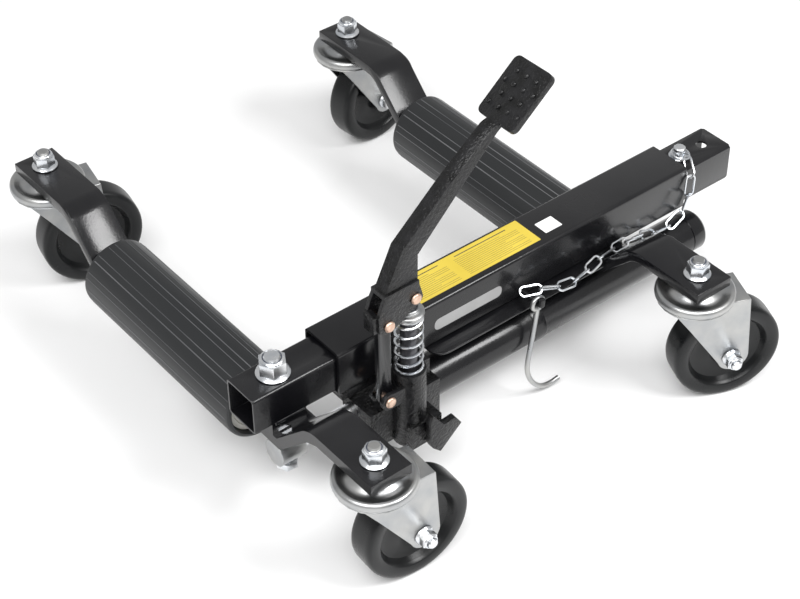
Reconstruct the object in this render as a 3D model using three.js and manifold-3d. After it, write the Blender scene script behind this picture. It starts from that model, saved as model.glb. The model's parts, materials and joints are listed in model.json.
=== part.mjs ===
// Hydraulic wheel dolly: a telescopic square beam with two L-shaped roller arms on four swivel
// castors, closed by a foot-pumped pull ram. Millimetres, +Z up, floor at z = 0. While it is built,
// x = 0 is the open left end of the inner tube and y = 0 is the beam's centre plane.
import * as THREE from "three";
import { mergeVertices } from "three/addons/utils/BufferGeometryUtils.js";
import Module from "manifold-3d";

const wasm = await Module();
wasm.setup();

// ---- driving dimensions ----
const gap = 0.3; // between pieces that touch or are welded
const runningGap = 0.5; // radial, where one piece turns or slides on another

const innerTubeLength = 595;
const innerTubeSide = 40;
const innerTubeWall = 2;
const outerTubeStart = 90; // from the inner tube's left end
const outerTubeLength = 437;
const outerTubeSide = 50;
const outerTubeWall = 3;

const wheelRadius = 55;
const wheelWidth = 30;
const wheelSideGap = 3; // wheel rim to fork leg
const castorTrail = 36;
const forkThickness = 3;
const forkCrownGap = 12; // wheel top to fork crown
const forkCrownThickness = 4;
const forkCrownRadius = 37;
const forkToeReach = 13; // crown past the axle
const racewayRadius = 39;
const racewayHeight = 14;
const stemRadius = 6;
const axleRadius = 5;
const axleHeadFlats = 15;
const axleNutHeight = 12;
const boltClearance = 0.4; // radial, bolt to its hole

const barThickness = 11;
const barWidth = 44;
const armRise = 48.5; // low section to high section
const nearRiseStart = -28; // where the near arm's underside starts to rise
const nearArmEnd = -161;
const nearBarInnerEnd = 21;
const farBarRun = 95; // from the foot of the far rise to the bar's end
const stemInset = 23; // castor stem from the arm's end
const leftArmX = 41.5;
const rightArmInset = 99.5; // from the outer tube's right end

const rollerRadius = 37.5;
const rollerWall = 5.5;
const rollerLength = 245;
const rollerSides = 24;
const rollerOffset = -3.5; // roller axis from its arm's centre
const rollerEndGap = 3; // roller end to arm
const rollerShaftRadius = 9;
const bushLength = 12;
const bushInset = 6;

const tubeAboveArm = 13.5; // inner tube over the low arm bars
const tubeBoltRadius = 8;
const tubeBoltX = 36;

const pumpInset = 60; // pump axis from the outer tube's left end
const pumpY = -50;
const pumpFootDrop = 45.5; // pump foot below the low arm bars
const pumpBossRadius = 16;
const pumpBossRise = 41; // pump boss above the low arm bars' underside
const pistonRadius = 8;
const springRadius = 14;
const springWire = 2.8;
const springTurns = 6;
const springLength = 64;
const springCapThickness = 4.6;
const springCapHeight = 8.5;

const rodY = -18;
const rodDrop = 11.5; // ram rod axis below the low arm bars
const rodRadius = 8;
const rodEnd = 250;
const rodBossRadius = 14;
const rodBossLength = 27;
const barrelDrop = 10.5; // barrel axis below the rod axis
const barrelRadius = 21.5;
const barrelWall = 2;
const barrelOverhang = 8; // barrel past the outer tube's right end
const barrelCapLength = 19;

const rivetRadius = 4;
const rivetHeadRadius = 5.6;
const rivetHeadHeight = 2.5;
const linkLength = 91;
const linkWidth = 14;
const linkThickness = 6;
const linkX = -29.5; // link axis from the pump axis
const linkRise = 21.5; // lower link rivet above the low arm bars' underside
const pistonPinDX = 30; // piston rivet from the fulcrum rivet
const pistonPinDZ = 16;
const openPivotClearance = 1.7; // radial, at the one pivot where the linkage is left open
const cheekGap = 12;
const cheekThickness = 4;
const pedalWidth = 15;
const padLength = 60;
const padWidth = 50;
const padThickness = 6;
const padTilt = THREE.MathUtils.degToRad(40);
const padRoll = THREE.MathUtils.degToRad(-6); // the pad's near edge stands a little higher

const pinRadius = 5;
const pinHoleRadius = 5.8;
const pinPitch = 32;
const armStroke = pinPitch; // the ram draws the left arm in by one pin hole
const pinStandOff = 14; // pin axis from the outer tube's right end
const pinTipBelowTube = 8;

const hookShare = 0.4966; // hook bracket along the outer tube
const hookRise = 6; // hook bracket over the inner tube's underside

const round = 12; // sides of small round pieces

// ---- heights and places that follow ----
const crownBottom = 2 * wheelRadius + forkCrownGap;
const crownTop = crownBottom + forkCrownThickness;
const racewayBottom = crownTop + gap;
const armHighBottom = racewayBottom + racewayHeight + 0.7;
const armHighTop = armHighBottom + barThickness;
const armLowBottom = armHighBottom - armRise;
const armLowTop = armLowBottom + barThickness;
const rollerZ = armLowBottom + barThickness / 2;
const innerTubeBottom = armLowTop + tubeAboveArm;
const innerTubeTop = innerTubeBottom + innerTubeSide;
const outerTubeBottom = innerTubeBottom - gap - outerTubeWall;
const outerTubeEnd = outerTubeStart + outerTubeLength;
const rightArmX = outerTubeEnd - rightArmInset;
const rollerNear = outerTubeSide / 2 + 1.5;
const rollerFar = rollerNear + rollerLength;
const farBarInnerEnd = rollerFar + rollerEndGap;
const farRiseStart = farBarInnerEnd + 5;
const farArmEnd = farRiseStart + armRise + farBarRun;
const forkInside = wheelWidth / 2 + wheelSideGap;
const forkOutside = forkInside + forkThickness;
const pumpX = outerTubeStart + pumpInset;
const rodBossX = leftArmX - barWidth / 2;
const pinX = outerTubeEnd + pinStandOff;
const pumpBaseZ = armLowBottom - pumpFootDrop;
const pumpBossTop = armLowBottom + pumpBossRise;
const springTop = pumpBossTop + springLength;
const rodZ = armLowBottom - rodDrop;
const barrelZ = rodZ - barrelDrop;
const linkZ = armLowBottom + linkRise;
const fulcrumX = pumpX + linkX;
const fulcrumZ = linkZ + linkLength;
const pistonPinZ = fulcrumZ + pistonPinDZ;
const cheekOutside = cheekGap / 2 + cheekThickness;
const pumpBlockStart = pumpX - 12;
const pumpBlockEnd = pumpX + 40;
const pumpTailStart = pumpX - 42; // the casting reaches back along the ram rod

// ---- materials ----
const paint = new THREE.MeshStandardMaterial({ color: 0x151517, roughness: 0.25, metalness: 0.1 });
const casting = new THREE.MeshStandardMaterial({ color: 0x1b1c1e, roughness: 0.6, metalness: 0.2 });
const zinc = new THREE.MeshStandardMaterial({ color: 0xc6cbcf, roughness: 0.3, metalness: 0.9 });
const darkSteel = new THREE.MeshStandardMaterial({ color: 0x303236, roughness: 0.4, metalness: 0.7 });
const copper = new THREE.MeshStandardMaterial({ color: 0xc99a80, roughness: 0.4, metalness: 0.8 });
const sleeve = new THREE.MeshStandardMaterial({ color: 0x3a3c3f, roughness: 0.55, metalness: 0.3 });
const plastic = new THREE.MeshStandardMaterial({ color: 0x1c1d1f, roughness: 0.4, metalness: 0 });
const nylon = new THREE.MeshStandardMaterial({ color: 0xd8d4c8, roughness: 0.6, metalness: 0 });

const dolly = new THREE.Group();

function add(name, geometry, material, parent = dolly) {
  const mesh = new THREE.Mesh(geometry, material);
  mesh.name = name;
  parent.add(mesh);
}

// ---- joining and cutting ----
function toSolid(geometry) {
  const source = geometry.index ? geometry.toNonIndexed() : geometry;
  const bare = new THREE.BufferGeometry().setAttribute("position", source.getAttribute("position"));
  const merged = mergeVertices(bare, 1e-4);
  return new wasm.Manifold(new wasm.Mesh({
    numProp: 3,
    vertProperties: merged.attributes.position.array,
    triVerts: new Uint32Array(merged.index.array),
  }));
}

function fromSolid(solid) {
  const mesh = solid.getMesh();
  const geometry = new THREE.BufferGeometry();
  geometry.setAttribute("position", new THREE.BufferAttribute(new Float32Array(mesh.vertProperties), 3));
  geometry.setIndex(new THREE.BufferAttribute(new Uint32Array(mesh.triVerts), 1));
  return geometry;
}

// Joins the first list of geometries and cuts the second list out of the result.
function build(joined, cut = []) {
  let solid = toSolid(joined[0]);
  for (const piece of joined.slice(1)) solid = solid.add(toSolid(piece));
  for (const piece of cut) solid = solid.subtract(toSolid(piece));
  return fromSolid(solid);
}

// ---- basic shapes ----
function box(x0, x1, y0, y1, z0, z1) {
  const geometry = new THREE.BoxGeometry(x1 - x0, y1 - y0, z1 - z0);
  return geometry.translate((x0 + x1) / 2, (y0 + y1) / 2, (z0 + z1) / 2);
}

function outline(points) {
  return new THREE.Shape(points.map(([a, b]) => new THREE.Vector2(a, b)));
}

const flat = { bevelEnabled: false, steps: 1, curveSegments: 5 };

// A shape drawn in (y, z), extruded from x0 to x1.
function alongX(shape, x0, x1) {
  const turn = new THREE.Matrix4().makeBasis(
    new THREE.Vector3(0, 1, 0), new THREE.Vector3(0, 0, 1), new THREE.Vector3(1, 0, 0));
  const geometry = new THREE.ExtrudeGeometry(shape, { ...flat, depth: x1 - x0 });
  return geometry.applyMatrix4(turn).translate(x0, 0, 0);
}

// A shape drawn in (x, z), extruded from y0 to y1.
function alongY(shape, y0, y1) {
  const turn = new THREE.Matrix4().makeBasis(
    new THREE.Vector3(1, 0, 0), new THREE.Vector3(0, 0, 1), new THREE.Vector3(0, -1, 0));
  const geometry = new THREE.ExtrudeGeometry(shape, { ...flat, depth: y1 - y0 });
  return geometry.applyMatrix4(turn).translate(0, y1, 0);
}

// A closed (radius, height) profile turned about Z.
function turned(profile, sides = round) {
  const points = profile.map(([r, h]) => new THREE.Vector2(r, h));
  return new THREE.LatheGeometry(points, sides).rotateX(Math.PI / 2);
}

function ring(inner, outer, z0, z1, sides = round) {
  return turned([[inner, z0], [outer, z0], [outer, z1], [inner, z1], [inner, z0]], sides);
}

function rodZAxis(x, y, z0, z1, radius, sides = round) {
  return turned([[0, z0], [radius, z0], [radius, z1], [0, z1]], sides).translate(x, y, 0);
}

function rodYAxis(x, z, y0, y1, radius, sides = round) {
  const rod = turned([[0, y0], [radius, y0], [radius, y1], [0, y1]], sides);
  return rod.rotateX(-Math.PI / 2).translate(x, 0, z);
}

function rodXAxis(y, z, x0, x1, radius, sides = round) {
  const rod = turned([[0, x0], [radius, x0], [radius, x1], [0, x1]], sides);
  return rod.rotateY(Math.PI / 2).translate(0, y, z);
}

function hexagon(acrossFlats, z0, z1) {
  return rodZAxis(0, 0, z0, z1, acrossFlats / Math.sqrt(3), 6);
}

// A square tube's section with an opening of the given wall.
function squareTube(side, wall, bottom, x0, x1) {
  const half = side / 2;
  const shape = outline([[-half, bottom], [half, bottom], [half, bottom + side], [-half, bottom + side]]);
  shape.holes.push(new THREE.Path([
    new THREE.Vector2(-half + wall, bottom + wall),
    new THREE.Vector2(-half + wall, bottom + side - wall),
    new THREE.Vector2(half - wall, bottom + side - wall),
    new THREE.Vector2(half - wall, bottom + wall),
  ]));
  return alongX(shape, x0, x1);
}

// A round bar swept along a curve.
function swept(curve, radius, sides, steps) {
  const section = new THREE.Shape();
  for (let i = 0; i < sides; i++) {
    const angle = (2 * Math.PI * i) / sides;
    const x = radius * Math.cos(angle);
    const y = radius * Math.sin(angle);
    if (i === 0) section.moveTo(x, y);
    else section.lineTo(x, y);
  }
  return new THREE.ExtrudeGeometry(section, { steps, extrudePath: curve, bevelEnabled: false });
}

// ---- fasteners, standing on z = 0 ----
function flangeNut(boltRadius, acrossFlats, flangeRadius, height) {
  return build(
    [
      turned([[0, 0], [flangeRadius, 0], [flangeRadius, 1.5], [acrossFlats * 0.5, 3.2], [0, 3.2]]),
      hexagon(acrossFlats, 1, height),
    ],
    [rodZAxis(0, 0, -1, height + 1, (boltRadius + gap) / Math.cos(Math.PI / round))],
  );
}

function plainNut(boltRadius, acrossFlats, height) {
  const bore = rodZAxis(0, 0, -1, height + 1, (boltRadius + gap) / Math.cos(Math.PI / round));
  return build([hexagon(acrossFlats, 0, height)], [bore]);
}

// ---- castor: fixed raceway and stem, swivelling fork, wheel on a bolted axle ----
function castorRaceway() {
  const b = racewayBottom;
  const t = racewayBottom + racewayHeight;
  const stemTop = armHighTop + 18.5;
  return turned([
    [0, b], [racewayRadius - 3, b], [racewayRadius, b + 2], [racewayRadius, b + 8],
    [racewayRadius - 3, b + 10.5], [25, b + 9.5], [16, t], [stemRadius, t], [stemRadius, stemTop],
    [0, stemTop],
  ], 20);
}

function castorFork() {
  const endRadius = 16;
  const toe = castorTrail + forkToeReach;
  const leg = new THREE.Shape();
  leg.moveTo(-28, crownBottom + 2);
  leg.lineTo(-11, crownBottom - 22);
  leg.absarc(castorTrail + 2, wheelRadius, endRadius, Math.PI * 1.1, Math.PI * 2, false);
  leg.lineTo(toe, crownTop - 1);
  const hole = axleRadius + boltClearance;
  return build(
    [
      turned([
        [0, crownBottom], [forkCrownRadius - 4, crownBottom], [forkCrownRadius, crownBottom + 2.5],
        [forkCrownRadius, crownTop], [0, crownTop],
      ], 20),
      box(0, toe, -forkOutside, forkOutside, crownBottom, crownTop),
      alongY(leg, forkInside, forkOutside),
      alongY(leg, -forkOutside, -forkInside),
    ],
    [rodYAxis(castorTrail, wheelRadius, -forkOutside - 1, forkOutside + 1, hole)],
  );
}

function castorWheel() {
  const half = wheelWidth / 2;
  const hubHalf = half + 2;
  const bore = axleRadius + runningGap;
  const side = [[bore, hubHalf], [13, hubHalf], [15, 7], [wheelRadius - 18, 4.5], [wheelRadius - 14, half],
    [wheelRadius - 3.5, half], [wheelRadius, half - 3.5]];
  const mirrored = side.map(([r, y]) => [r, -y]).reverse();
  const profile = [...mirrored.slice().reverse(), ...side.slice().reverse(), mirrored.at(-1)];
  return turned(profile, 24).rotateX(-Math.PI / 2).translate(castorTrail, 0, wheelRadius);
}

function castorAxle() {
  const head = forkOutside + gap;
  const bolt = build([
    hexagon(axleHeadFlats, head, head + 5.5),
    rodZAxis(0, 0, -forkOutside - axleNutHeight - 3, head + 1, axleRadius),
  ]);
  return bolt.rotateX(-Math.PI / 2).translate(castorTrail, 0, wheelRadius);
}

function addCastor(name, x, y, swivelDegrees) {
  const castor = new THREE.Group();
  castor.position.set(x, y, 0);
  castor.rotation.z = THREE.MathUtils.degToRad(swivelDegrees);
  add(`${name}_castor_raceway`, castorRaceway(), zinc, castor);
  const stemNut = flangeNut(stemRadius, 19, 13, 16).translate(0, 0, armHighTop + gap);
  add(`${name}_castor_stem_nut`, stemNut, zinc, castor);
  add(`${name}_castor_fork`, castorFork(), zinc, castor);
  add(`${name}_castor_wheel`, castorWheel(), plastic, castor);
  add(`${name}_castor_axle`, castorAxle(), zinc, castor);
  const axleNut = plainNut(axleRadius, axleHeadFlats, axleNutHeight).rotateX(Math.PI / 2);
  axleNut.translate(castorTrail, -forkOutside - gap, wheelRadius);
  add(`${name}_castor_axle_nut`, axleNut, zinc, castor);
  dolly.add(castor);
}

// ---- arm bars: a flat bar, low beside the roller, rising at 45 degrees to the castor ----
// Drawn outward from the roller: `inner` is the low end, `rise` where the underside turns up.
function armProfile(inner, rise, end) {
  const out = Math.sign(end - inner);
  const bend = barThickness * Math.tan(Math.PI / 8);
  const points = [
    [inner, armLowBottom],
    [rise, armLowBottom],
    [rise + out * armRise, armHighBottom],
    [end, armHighBottom],
    [end, armHighTop],
    [rise + out * (armRise - bend), armHighTop],
    [rise - out * bend, armLowTop],
    [inner, armLowTop],
  ];
  if (Math.abs(rise - inner) < bend + 0.5) {
    // the bar's end is cut square inside the bend
    const cutHeight = armLowTop + (bend - Math.abs(rise - inner));
    points.splice(6, 2, [inner, cutHeight]);
  }
  return outline(out > 0 ? points : points.reverse());
}

function addArms(side, x, block) {
  const nearStemY = nearArmEnd + stemInset;
  const farStemY = farArmEnd - stemInset;
  const x0 = x - barWidth / 2;
  const x1 = x + barWidth / 2;
  const hole = stemRadius + boltClearance;
  const stemHole = (y) => rodZAxis(x, y, armHighBottom - 1, armHighTop + 1, hole);
  const nearBar = alongX(armProfile(nearBarInnerEnd, nearRiseStart, nearArmEnd), x0, x1);
  add(`${side}_near_arm`, build([nearBar, block.geometry], [stemHole(nearStemY), ...block.holes]), paint);
  const farBar = alongX(armProfile(farBarInnerEnd, farRiseStart, farArmEnd), x0, x1);
  add(`${side}_far_arm`, build([farBar], [stemHole(farStemY)]), paint);
  return [nearStemY, farStemY];
}

// ---- rollers ----
function rollerSleeve(x) {
  const shape = new THREE.Shape();
  shape.absarc(0, 0, rollerRadius, 0, 2 * Math.PI, false);
  const hole = new THREE.Path();
  hole.absarc(0, 0, rollerRadius - rollerWall, 0, 2 * Math.PI, true);
  shape.holes.push(hole);
  const geometry = new THREE.ExtrudeGeometry(shape, {
    bevelEnabled: false, steps: 1, curveSegments: rollerSides / 2, depth: rollerLength,
  });
  return geometry.rotateX(Math.PI / 2).translate(x, rollerFar, rollerZ);
}

function addRoller(side, armX) {
  const x = armX + rollerOffset;
  add(`${side}_roller`, rollerSleeve(x), sleeve);
  const shaft = rodYAxis(x, rollerZ, nearBarInnerEnd + gap, farBarInnerEnd - gap, rollerShaftRadius);
  add(`${side}_roller_shaft`, shaft, zinc);
  const bushOutside = (rollerRadius - rollerWall) * Math.cos(Math.PI / rollerSides) - gap;
  const bush = (y) => ring(rollerShaftRadius + runningGap, bushOutside, y, y + bushLength, 24)
    .rotateX(-Math.PI / 2).translate(x, 0, rollerZ);
  add(`${side}_roller_near_bush`, bush(rollerNear + bushInset), nylon);
  add(`${side}_roller_far_bush`, bush(rollerFar - bushInset - bushLength), nylon);
}

// ---- beam ----
function addBeam() {
  const holes = [];
  for (let i = -2; i <= 1; i++) {
    const x = pinX + i * pinPitch;
    holes.push(rodZAxis(x, 0, innerTubeBottom - 1, innerTubeTop + 1, pinHoleRadius));
  }
  holes.push(rodZAxis(tubeBoltX, 0, innerTubeBottom - 1, innerTubeTop + 1, tubeBoltRadius + boltClearance));
  const inner = squareTube(innerTubeSide, innerTubeWall, innerTubeBottom, 0, innerTubeLength);
  add("inner_tube", build([inner], holes), paint);
  const outer = squareTube(outerTubeSide, outerTubeWall, outerTubeBottom, outerTubeStart, outerTubeEnd);
  add("outer_tube", outer, paint);
  add("tube_bolt", build([
    rodZAxis(tubeBoltX, 0, armLowBottom + gap, innerTubeTop + 19.6, tubeBoltRadius),
    rodZAxis(tubeBoltX, 0, innerTubeTop + 19, innerTubeTop + 21, tubeBoltRadius - 1),
  ]), zinc);
  const nut = flangeNut(tubeBoltRadius, 24, 16, 19);
  add("tube_nut", nut.translate(tubeBoltX, 0, innerTubeTop + gap), zinc);
}

// ---- lock pin, its chain and the hooks on the outer tube's side ----
function lockPin() {
  const collar = innerTubeTop + gap;
  const tip = innerTubeBottom - pinTipBelowTube;
  return turned([
    [0, tip], [pinRadius - 1.5, tip], [pinRadius, tip + 3], [pinRadius, collar], [10.5, collar],
    [10.5, collar + 2], [6, collar + 2], [6, collar + 11], [5, collar + 12], [0, collar + 12],
  ]).translate(pinX, 0, 0);
}

const hookX = outerTubeStart + hookShare * outerTubeLength; // bracket axis, which the storage hook swings on
const hookZ = innerTubeBottom + hookRise;
const hookBracketRadius = 3;
const hookBracketReach = 34;
const hookRodRadius = 2.6;

// Place along the beam (0 at the pin, 1 at the right arm, 2 at the hook bracket), y, and height
// over the inner tube's underside.
const chainRoute = [
  [0.0203, -13, 46.5], [0.0837, -27, 40], [0.111, -30, 26.2], [0.1286, -30, 9], [0.1894, -30, -4],
  [0.2863, -30.5, -11], [0.4141, -31, -12.5], [0.5533, -31, -9], [0.6934, -31.5, -2.5], [0.837, -32, 1.5],
  [0.9912, -33, 3], [1.132, -35, 4], [1.2598, -37, 4], [1.3892, -41, 3], [1.5295, -45, 2.4],
  [1.6564, -46, 3.8], [1.7826, -44, 6.9], [1.8921, -41, 11.5], [1.9585, -38.5, 14.5], [2.0041, -36.5, 14.6],
];

function chain() {
  const anchors = [pinX, rightArmX, hookX, 2 * hookX - rightArmX];
  const curve = new THREE.CatmullRomCurve3(chainRoute.map(([place, y, height]) => {
    const leg = Math.floor(place);
    const x = THREE.MathUtils.lerp(anchors[leg], anchors[leg + 1], place - leg);
    return new THREE.Vector3(x, y, innerTubeBottom + height);
  }));
  return swept(curve, 2.6, 6, 30);
}

function hookBracket() {
  const face = -outerTubeSide / 2 - gap;
  const tip = -outerTubeSide / 2 - hookBracketReach;
  return build([
    rodYAxis(hookX, hookZ, tip, face, hookBracketRadius, 10),
    rodZAxis(hookX, tip + hookBracketRadius, hookZ - 2, hookZ + 9, hookBracketRadius, 10),
  ]);
}

function storageHook() {
  const y = -outerTubeSide / 2 - hookBracketReach + 9;
  const eye = ring(hookBracketRadius + 1.2, hookBracketRadius + 6, -2.2, 2.2, 16).rotateX(Math.PI / 2);
  const bends = [[-0.5, 7], [-5, 40], [-10, 72], [-8, 88], [0, 104], [10, 113], [20, 116], [33, 115]];
  const places = bends.map(([dx, drop]) => new THREE.Vector3(hookX + dx, y, hookZ - drop));
  const path = new THREE.CatmullRomCurve3(places);
  return build([eye.translate(hookX, y, hookZ), swept(path, hookRodRadius, 8, 18)]);
}

// Folded strip under the outer tube's front edge, over the barrel.
function sideRail() {
  const top = outerTubeBottom - gap;
  const shape = new THREE.Shape();
  const start = pumpBlockEnd + 2;
  const end = rightArmX - barWidth / 2 - 2;
  shape.moveTo(start, -12);
  shape.lineTo(start, -28);
  shape.quadraticCurveTo(start + 2, -41, start + 16, -41);
  shape.lineTo(end, -41);
  shape.lineTo(end, -12);
  const strip = new THREE.ExtrudeGeometry(shape, { bevelEnabled: false, depth: 2.2, curveSegments: 6 });
  return strip.translate(0, 0, top - 2.2);
}

// ---- ram: boss on the left arm, rod, barrel and end cap ----
function addRam() {
  const seat = armLowBottom - gap;
  const bossEnd = rodBossX + rodBossLength;
  const boltX = rodBossX + rodBossLength / 2;
  const boltHole = rodZAxis(boltX, rodY, rodZ - rodBossRadius - 1, armLowTop + 1, 6.4);
  const aboveSeat = box(rodBossX - 1, bossEnd + 1, rodY - 20, rodY + 20, seat, seat + 20);
  const boss = rodXAxis(rodY, rodZ, rodBossX, bossEnd, rodBossRadius, 24);
  add("rod_boss", build([boss], [aboveSeat, boltHole]), zinc);
  const headTop = rodZ - rodBossRadius - gap;
  add("rod_boss_bolt", build([
    hexagon(19, headTop - 7, headTop).translate(boltX, rodY, 0),
    rodZAxis(boltX, rodY, headTop - 11, armLowTop - 1, 6),
  ]), zinc);
  add("ram_rod", rodXAxis(rodY, rodZ, bossEnd + gap, rodEnd, rodRadius), zinc);
  const barrelStart = pumpBlockEnd + gap;
  const barrelEnd = outerTubeEnd + barrelOverhang;
  const barrel = build(
    [
      rodXAxis(rodY, barrelZ, barrelStart, barrelEnd, barrelRadius, 28),
      rodXAxis(rodY, barrelZ - 1, rodEnd + 70, rodEnd + 80, barrelRadius + 0.8, 28),
    ],
    [rodXAxis(rodY, barrelZ, barrelStart - 1, barrelEnd + 1, barrelRadius - barrelWall, 28)],
  );
  add("oil_barrel", barrel, paint);
  const capStart = barrelEnd + gap;
  const cap = turned([
    [0, capStart], [barrelRadius, capStart], [barrelRadius, capStart + barrelCapLength - 4],
    [barrelRadius - 4, capStart + barrelCapLength], [0, capStart + barrelCapLength],
  ], 28).rotateY(Math.PI / 2).translate(0, rodY, barrelZ);
  add("barrel_end_cap", cap, paint);
  return boltHole;
}

// ---- foot pump ----
function lugEar(y0, y1) {
  const shape = new THREE.Shape();
  shape.moveTo(pumpX - 10, linkZ - 9);
  shape.lineTo(pumpX - 10, linkZ + 7);
  shape.lineTo(fulcrumX + 4, linkZ + 8);
  shape.absarc(fulcrumX, linkZ, 9, Math.PI / 2, Math.PI * 1.5, false);
  return alongY(shape, y0, y1);
}

function pumpBody() {
  const earsOut = cheekOutside;
  const earsIn = cheekGap / 2;
  const base = pumpBaseZ;
  return build(
    [
      rodZAxis(pumpX, pumpY, base, pumpBossTop, pumpBossRadius, 24),
      box(pumpBlockStart, pumpBlockEnd, pumpY + 4, rodY + 24, base + 1, armLowBottom),
      box(pumpBlockStart, pumpX + 24, pumpY - 18, pumpY + 8, base, base + 27),
      box(pumpX + 4, pumpBlockEnd - 4, pumpY + 14, rodY + 20, armLowBottom - 1, outerTubeBottom - gap),
      box(pumpTailStart, pumpBlockStart + 1, pumpY + 4, rodY + 14, base + 1, armLowBottom - gap),
      box(outerTubeStart + 4, pumpX + 5, -outerTubeSide / 2 + 2, 0, armLowTop + 1, outerTubeBottom - gap),
      lugEar(pumpY - earsOut, pumpY - earsIn),
      lugEar(pumpY + earsIn, pumpY + earsOut),
      rodXAxis(pumpY + 10, linkZ - 12.5, pumpBlockStart - 16, pumpX - 8, 4, 10),
    ],
    [
      rodZAxis(pumpX, pumpY, base + 20, pumpBossTop + 1, pistonRadius + runningGap),
      rodXAxis(rodY, rodZ, pumpTailStart - 1, pumpBlockEnd + 1, rodRadius + runningGap),
      rodYAxis(fulcrumX, linkZ, pumpY - 12, pumpY + 12, rivetRadius + boltClearance),
      rodYAxis(pumpX + 10, base + 13, pumpY - 19, pumpY - 6, 4 + runningGap),
    ],
  );
}

function pumpPiston() {
  const capTop = springTop + gap + springCapHeight + 1.2;
  const eyeHole = rivetRadius + openPivotClearance;
  return build(
    [
      rodZAxis(pumpX, pumpY, pumpBaseZ + 42, capTop, pistonRadius),
      box(pumpX - 7, pumpX + 7, pumpY - 5, pumpY + 5, capTop - 1, pistonPinZ),
      rodYAxis(pumpX + 0.5, pistonPinZ, pumpY - 5, pumpY + 5, 9),
    ],
    [rodYAxis(fulcrumX + pistonPinDX, pistonPinZ, pumpY - 6, pumpY + 6, eyeHole)],
  );
}

function springCap() {
  const bottom = springTop + gap;
  const bore = pistonRadius + gap;
  return turned([
    [bore, bottom], [springRadius + 0.5, bottom], [springRadius + 0.5, bottom + springCapThickness],
    [11, bottom + springCapThickness + 1], [10.4, bottom + springCapHeight], [bore, bottom + springCapHeight],
    [bore, bottom],
  ], 20).translate(pumpX, pumpY, 0);
}

class Helix extends THREE.Curve {
  constructor(radius, turns, bottom, top) {
    super();
    Object.assign(this, { radius, turns, bottom, top });
  }
  getPoint(t, target = new THREE.Vector3()) {
    const angle = 2 * Math.PI * this.turns * t;
    const height = this.bottom + (this.top - this.bottom) * t;
    return target.set(this.radius * Math.cos(angle), this.radius * Math.sin(angle), height);
  }
}

function pumpSpring() {
  const half = springWire / 2;
  const path = new Helix(springRadius - half, springTurns, pumpBossTop + half + gap, springTop - half);
  return swept(path, half, 6, springTurns * 10).translate(pumpX, pumpY, 0);
}

// ---- pedal linkage ----
function pedalLink() {
  const half = linkWidth / 2;
  const shape = new THREE.Shape();
  shape.absarc(fulcrumX, linkZ, half, Math.PI, 2 * Math.PI, false);
  shape.absarc(fulcrumX, fulcrumZ, half, 0, Math.PI, false);
  const hole = rivetRadius + runningGap;
  const y0 = pumpY - linkThickness / 2;
  const y1 = pumpY + linkThickness / 2;
  return build([alongY(shape, y0, y1)], [
    rodYAxis(fulcrumX, linkZ, y0 - 1, y1 + 1, hole),
    rodYAxis(fulcrumX, fulcrumZ, y0 - 1, y1 + 1, hole),
  ]);
}

function rivet(x, z) {
  const head = cheekOutside + gap;
  const profile = [
    [0, -head - rivetHeadHeight], [rivetHeadRadius - 1.5, -head - rivetHeadHeight],
    [rivetHeadRadius, -head - 1], [rivetHeadRadius, -head],
    [rivetRadius, -head], [rivetRadius, head], [rivetHeadRadius, head],
    [rivetHeadRadius, head + 1], [rivetHeadRadius - 1.5, head + rivetHeadHeight], [0, head + rivetHeadHeight],
  ];
  return turned(profile).rotateX(-Math.PI / 2).translate(x, pumpY, z);
}

const cheekTopZ = fulcrumZ + 31; // the cheeks join into one arm above this
const padStart = [fulcrumX + 126, fulcrumZ + 154]; // middle of the pad's lower edge

function pedal() {
  const fromFulcrum = ([dx, dz]) => [fulcrumX + dx, fulcrumZ + dz];
  const arm = outline([
    [-4, 30], [34, 30], [34.3, 61.7], [78.8, 106.5], [121.5, 150], [135, 160],
    [130, 159.5], [116, 156], [66.5, 117.5], [17, 74],
  ].map(fromFulcrum));
  const cheek = new THREE.Shape();
  const pinX1 = fulcrumX + pistonPinDX;
  cheek.moveTo(pinX1 + 8, pistonPinZ);
  cheek.lineTo(fulcrumX + 34, cheekTopZ);
  cheek.lineTo(fulcrumX - 4, cheekTopZ);
  cheek.lineTo(fulcrumX - 7.5, fulcrumZ + 24);
  cheek.lineTo(fulcrumX - 11, fulcrumZ + 14);
  cheek.lineTo(fulcrumX - 11, fulcrumZ - 3);
  cheek.absarc(fulcrumX, fulcrumZ, 8, Math.PI * 1.2, Math.PI * 1.66, false);
  cheek.absarc(pinX1, pistonPinZ, 8, Math.PI * 1.66, Math.PI * 2, false);
  const pad = new THREE.BoxGeometry(padLength, padWidth, padThickness)
    .translate(padLength / 2, 0, 0)
    .rotateX(padRoll)
    .rotateY(-padTilt)
    .translate(padStart[0], pumpY, padStart[1]);
  const stopLug = box(fulcrumX - 15, fulcrumX - 8, pumpY - 7, pumpY + 7, fulcrumZ - 4, fulcrumZ + 14);
  const hole = rivetRadius + boltClearance;
  const reach = cheekOutside + 1;
  return build(
    [
      alongY(arm, pumpY - pedalWidth / 2, pumpY + pedalWidth / 2),
      box(fulcrumX - 4, fulcrumX + 34, pumpY - cheekOutside, pumpY + cheekOutside,
        cheekTopZ - 1, cheekTopZ + 4),
      alongY(cheek, pumpY - cheekOutside, pumpY - cheekGap / 2),
      alongY(cheek, pumpY + cheekGap / 2, pumpY + cheekOutside),
      stopLug,
      pad,
    ],
    [
      rodYAxis(fulcrumX, fulcrumZ, pumpY - reach, pumpY + reach, hole),
      rodYAxis(pinX1, pistonPinZ, pumpY - reach, pumpY + reach, hole),
    ],
  );
}

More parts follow.
